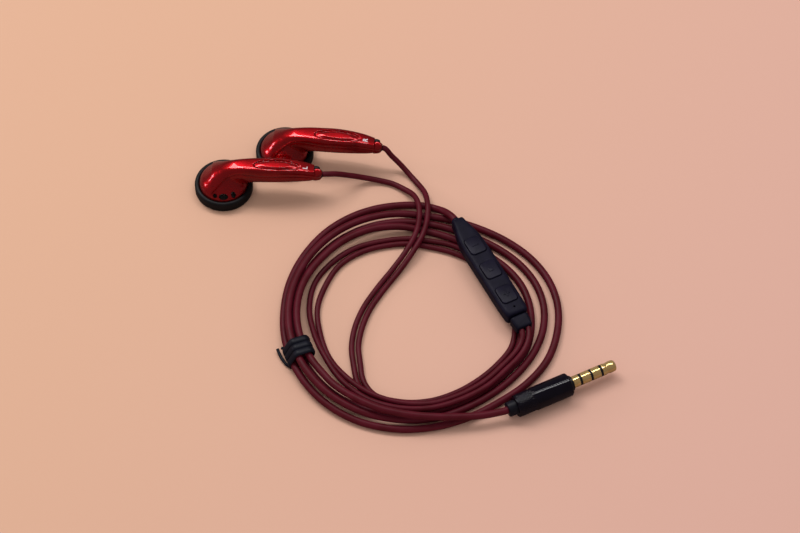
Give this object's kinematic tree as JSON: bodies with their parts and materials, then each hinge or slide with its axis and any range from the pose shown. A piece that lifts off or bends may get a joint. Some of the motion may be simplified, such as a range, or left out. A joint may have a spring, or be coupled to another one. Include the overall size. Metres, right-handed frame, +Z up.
{
  "type": "wired earphones",
  "caption": "Wired in-ear headphones: button earbuds on curved stems, an in-line remote with keys, a coiled round cord held by a twist tie, and a jack plug.",
  "frame": {"origin": "on the table, at the centre of the two earbuds as they lie face down", "axes": "+X along the earbuds' stems towards their cords, +Y from the left earbud towards the right one, +Z up from the table"},
  "size_m": [0.1248, 0.109, 0.0143],
  "materials": {
    "rubber_ring": "satin",
    "grille_steel": "satin",
    "cloth": "matte",
    "driver_plastic": "matte",
    "film": "satin",
    "copper": "satin",
    "magnet": "matte",
    "magnet_steel": "satin",
    "red_shell": "high gloss",
    "red_inlay": "high gloss",
    "black_bush": "matte",
    "board": "satin",
    "remote_case": "satin",
    "remote_button": "satin",
    "switch_steel": "satin",
    "microphone": "satin",
    "remote_rubber": "satin",
    "gold": "polished",
    "plug_black": "gloss",
    "barrel_black": "gloss",
    "plug_bush": "satin",
    "cord": "satin",
    "tie": "satin"
  },
  "bodies": {
    "earphones": {"left_rubber_ring": "rubber_ring", "left_front_grille": "grille_steel", "left_driver_frame": "driver_plastic", "left_top_plate": "magnet_steel", "left_magnet": "magnet", "left_yoke": "magnet_steel", "left_rear_shell": "red_shell", "left_stem_base": "red_shell", "left_stem_cover": "red_shell", "left_stem_inlay": "red_inlay", "left_stem_cap": "red_shell", "left_strain_relief": "black_bush", "left_lead_wires": "copper", "right_rubber_ring": "rubber_ring", "right_front_grille": "grille_steel", "right_driver_frame": "driver_plastic", "right_top_plate": "magnet_steel", "right_magnet": "magnet", "right_yoke": "magnet_steel", "right_rear_shell": "red_shell", "right_stem_base": "red_shell", "right_stem_cover": "red_shell", "right_stem_inlay": "red_inlay", "right_stem_cap": "red_shell", "right_strain_relief": "black_bush", "right_lead_wires": "copper", "grille_cloths": "cloth", "terminal_boards": "board", "vent_screens": "cloth", "remote_top_cover": "remote_case", "remote_bottom_cover": "remote_case", "remote_board": "board", "tact_switches": "switch_steel", "microphone": "microphone", "remote_collar": "remote_rubber", "remote_neck": "remote_rubber", "plug_tip": "gold", "plug_ring_1": "gold", "plug_ring_2": "gold", "plug_sleeve": "gold", "plug_core": "plug_black", "plug_strain_relief": "plug_bush", "main_cord_lead": "cord", "main_cord_coil": "cord", "main_cord_tail": "cord", "left_cord_tail": "cord", "left_cord_coil": "cord", "left_cord_lead": "cord", "right_cord_tail": "cord", "right_cord_coil": "cord", "right_cord_lead": "cord", "cable_tie": "tie"},
    "left_driver": {"left_diaphragm": "film", "left_voice_coil": "copper"},
    "right_driver": {"right_diaphragm": "film", "right_voice_coil": "copper"},
    "minus_key": {"minus_button": "remote_button"},
    "middle_key": {"middle_button": "remote_button"},
    "plus_key": {"plus_button": "remote_button"},
    "barrel": {"plug_barrel": "barrel_black"}
  },
  "joints": [
    {"name": "left_driver_stroke", "type": "slide", "parent": "earphones", "child": "left_driver", "axis": [0, 0, 1], "range_m": [-0.0002, 0.0002], "stiffness_N_per_m": 60},
    {"name": "right_driver_stroke", "type": "slide", "parent": "earphones", "child": "right_driver", "axis": [0, 0, 1], "range_m": [-0.0002, 0.0002], "stiffness_N_per_m": 60},
    {"name": "minus_press", "type": "slide", "parent": "earphones", "child": "minus_key", "axis": [0, 0, -1], "range_m": [0, 0.0003], "stiffness_N_per_m": 400},
    {"name": "middle_press", "type": "slide", "parent": "earphones", "child": "middle_key", "axis": [0, 0, -1], "range_m": [0, 0.0003], "stiffness_N_per_m": 400},
    {"name": "plus_press", "type": "slide", "parent": "earphones", "child": "plus_key", "axis": [0, 0, -1], "range_m": [0, 0.0003], "stiffness_N_per_m": 400},
    {"name": "barrel_turn", "type": "hinge", "parent": "earphones", "child": "barrel", "pos_m": [0.0647, -0.0879, 0.0035], "axis": [0.8965, 0.4431, 0], "continuous": true}
  ]
}
